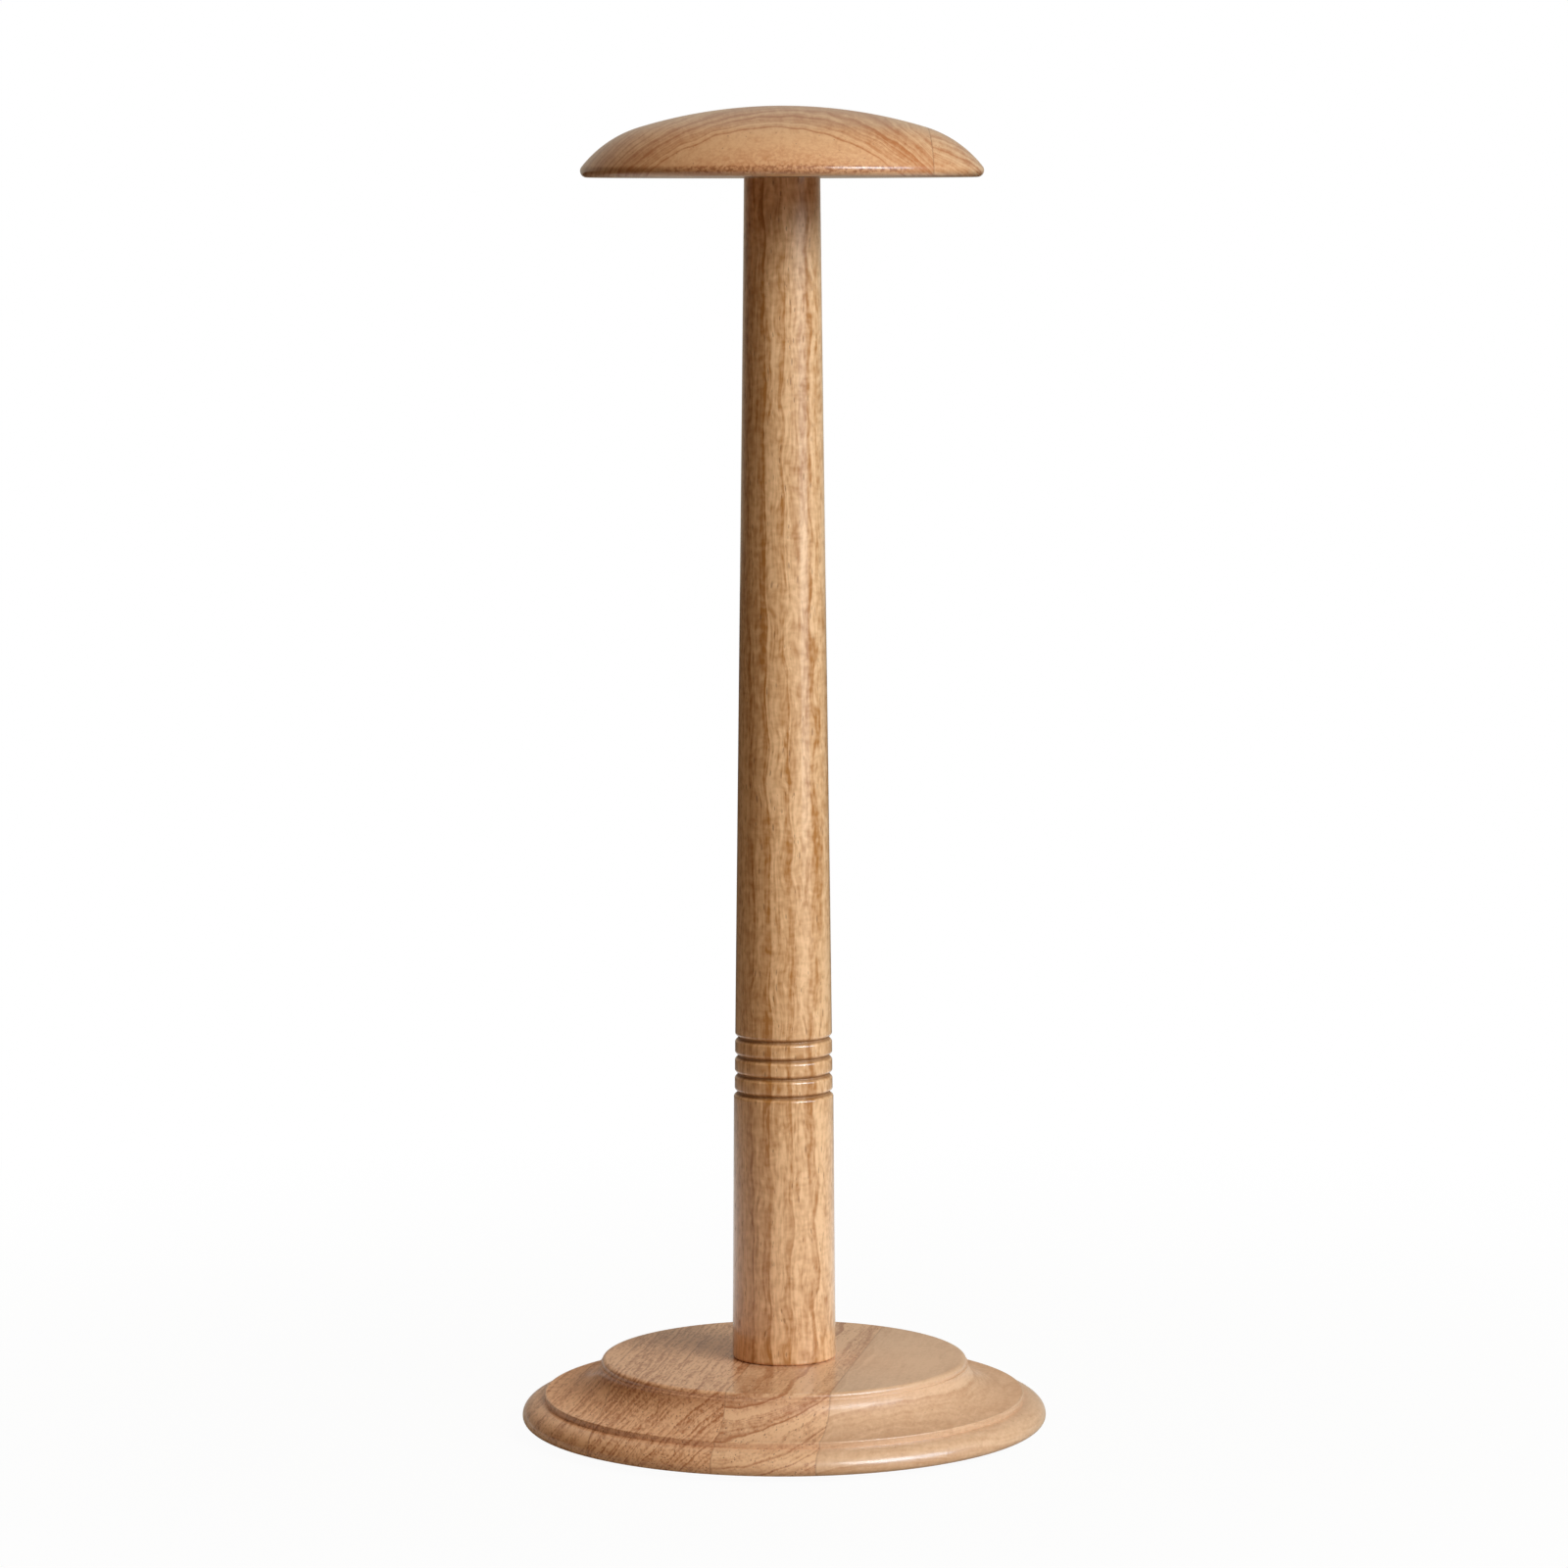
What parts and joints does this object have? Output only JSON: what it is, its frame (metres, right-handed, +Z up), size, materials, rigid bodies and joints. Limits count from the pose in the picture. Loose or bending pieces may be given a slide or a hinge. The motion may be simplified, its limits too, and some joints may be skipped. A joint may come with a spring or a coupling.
{
  "type": "milliners hat stand",
  "caption": "Turned wooden hat stand: moulded round base of glued staves, slim tapered pole with cut rings near the foot, and a low domed cap that a hat rests on.",
  "frame": {"origin": "on the surface the stand is put on, under the centre of the base, on the pole's axis", "axes": "+Z up along the pole, -Y towards the front seen in the picture, +X to the viewer's right"},
  "size_m": [0.17, 0.17, 0.4261],
  "materials": {
    "wood_base": "gloss lacquer over light tan hardwood, grain running front to back",
    "wood_pole": "gloss lacquer over light tan hardwood with long grain and dark pores",
    "wood_cap": "gloss lacquer over plain-sawn light tan hardwood",
    "plated_steel": "bright zinc plate",
    "felt": "dark brown pressed felt"
  },
  "bodies": {
    "root": {"base_stave_1": "wood_base", "base_stave_2": "wood_base", "base_stave_3": "wood_base", "base_stave_4": "wood_base", "base_stave_5": "wood_base", "foot_washer": "plated_steel", "foot_bolt": "plated_steel", "pole": "wood_pole", "foot_insert": "plated_steel", "cap_board_main": "wood_cap", "cap_board_side": "wood_cap", "cap_insert": "plated_steel", "cap_stud": "plated_steel", "felt_pad_1": "felt", "felt_pad_2": "felt", "felt_pad_3": "felt", "felt_pad_4": "felt"}
  },
  "joints": []
}
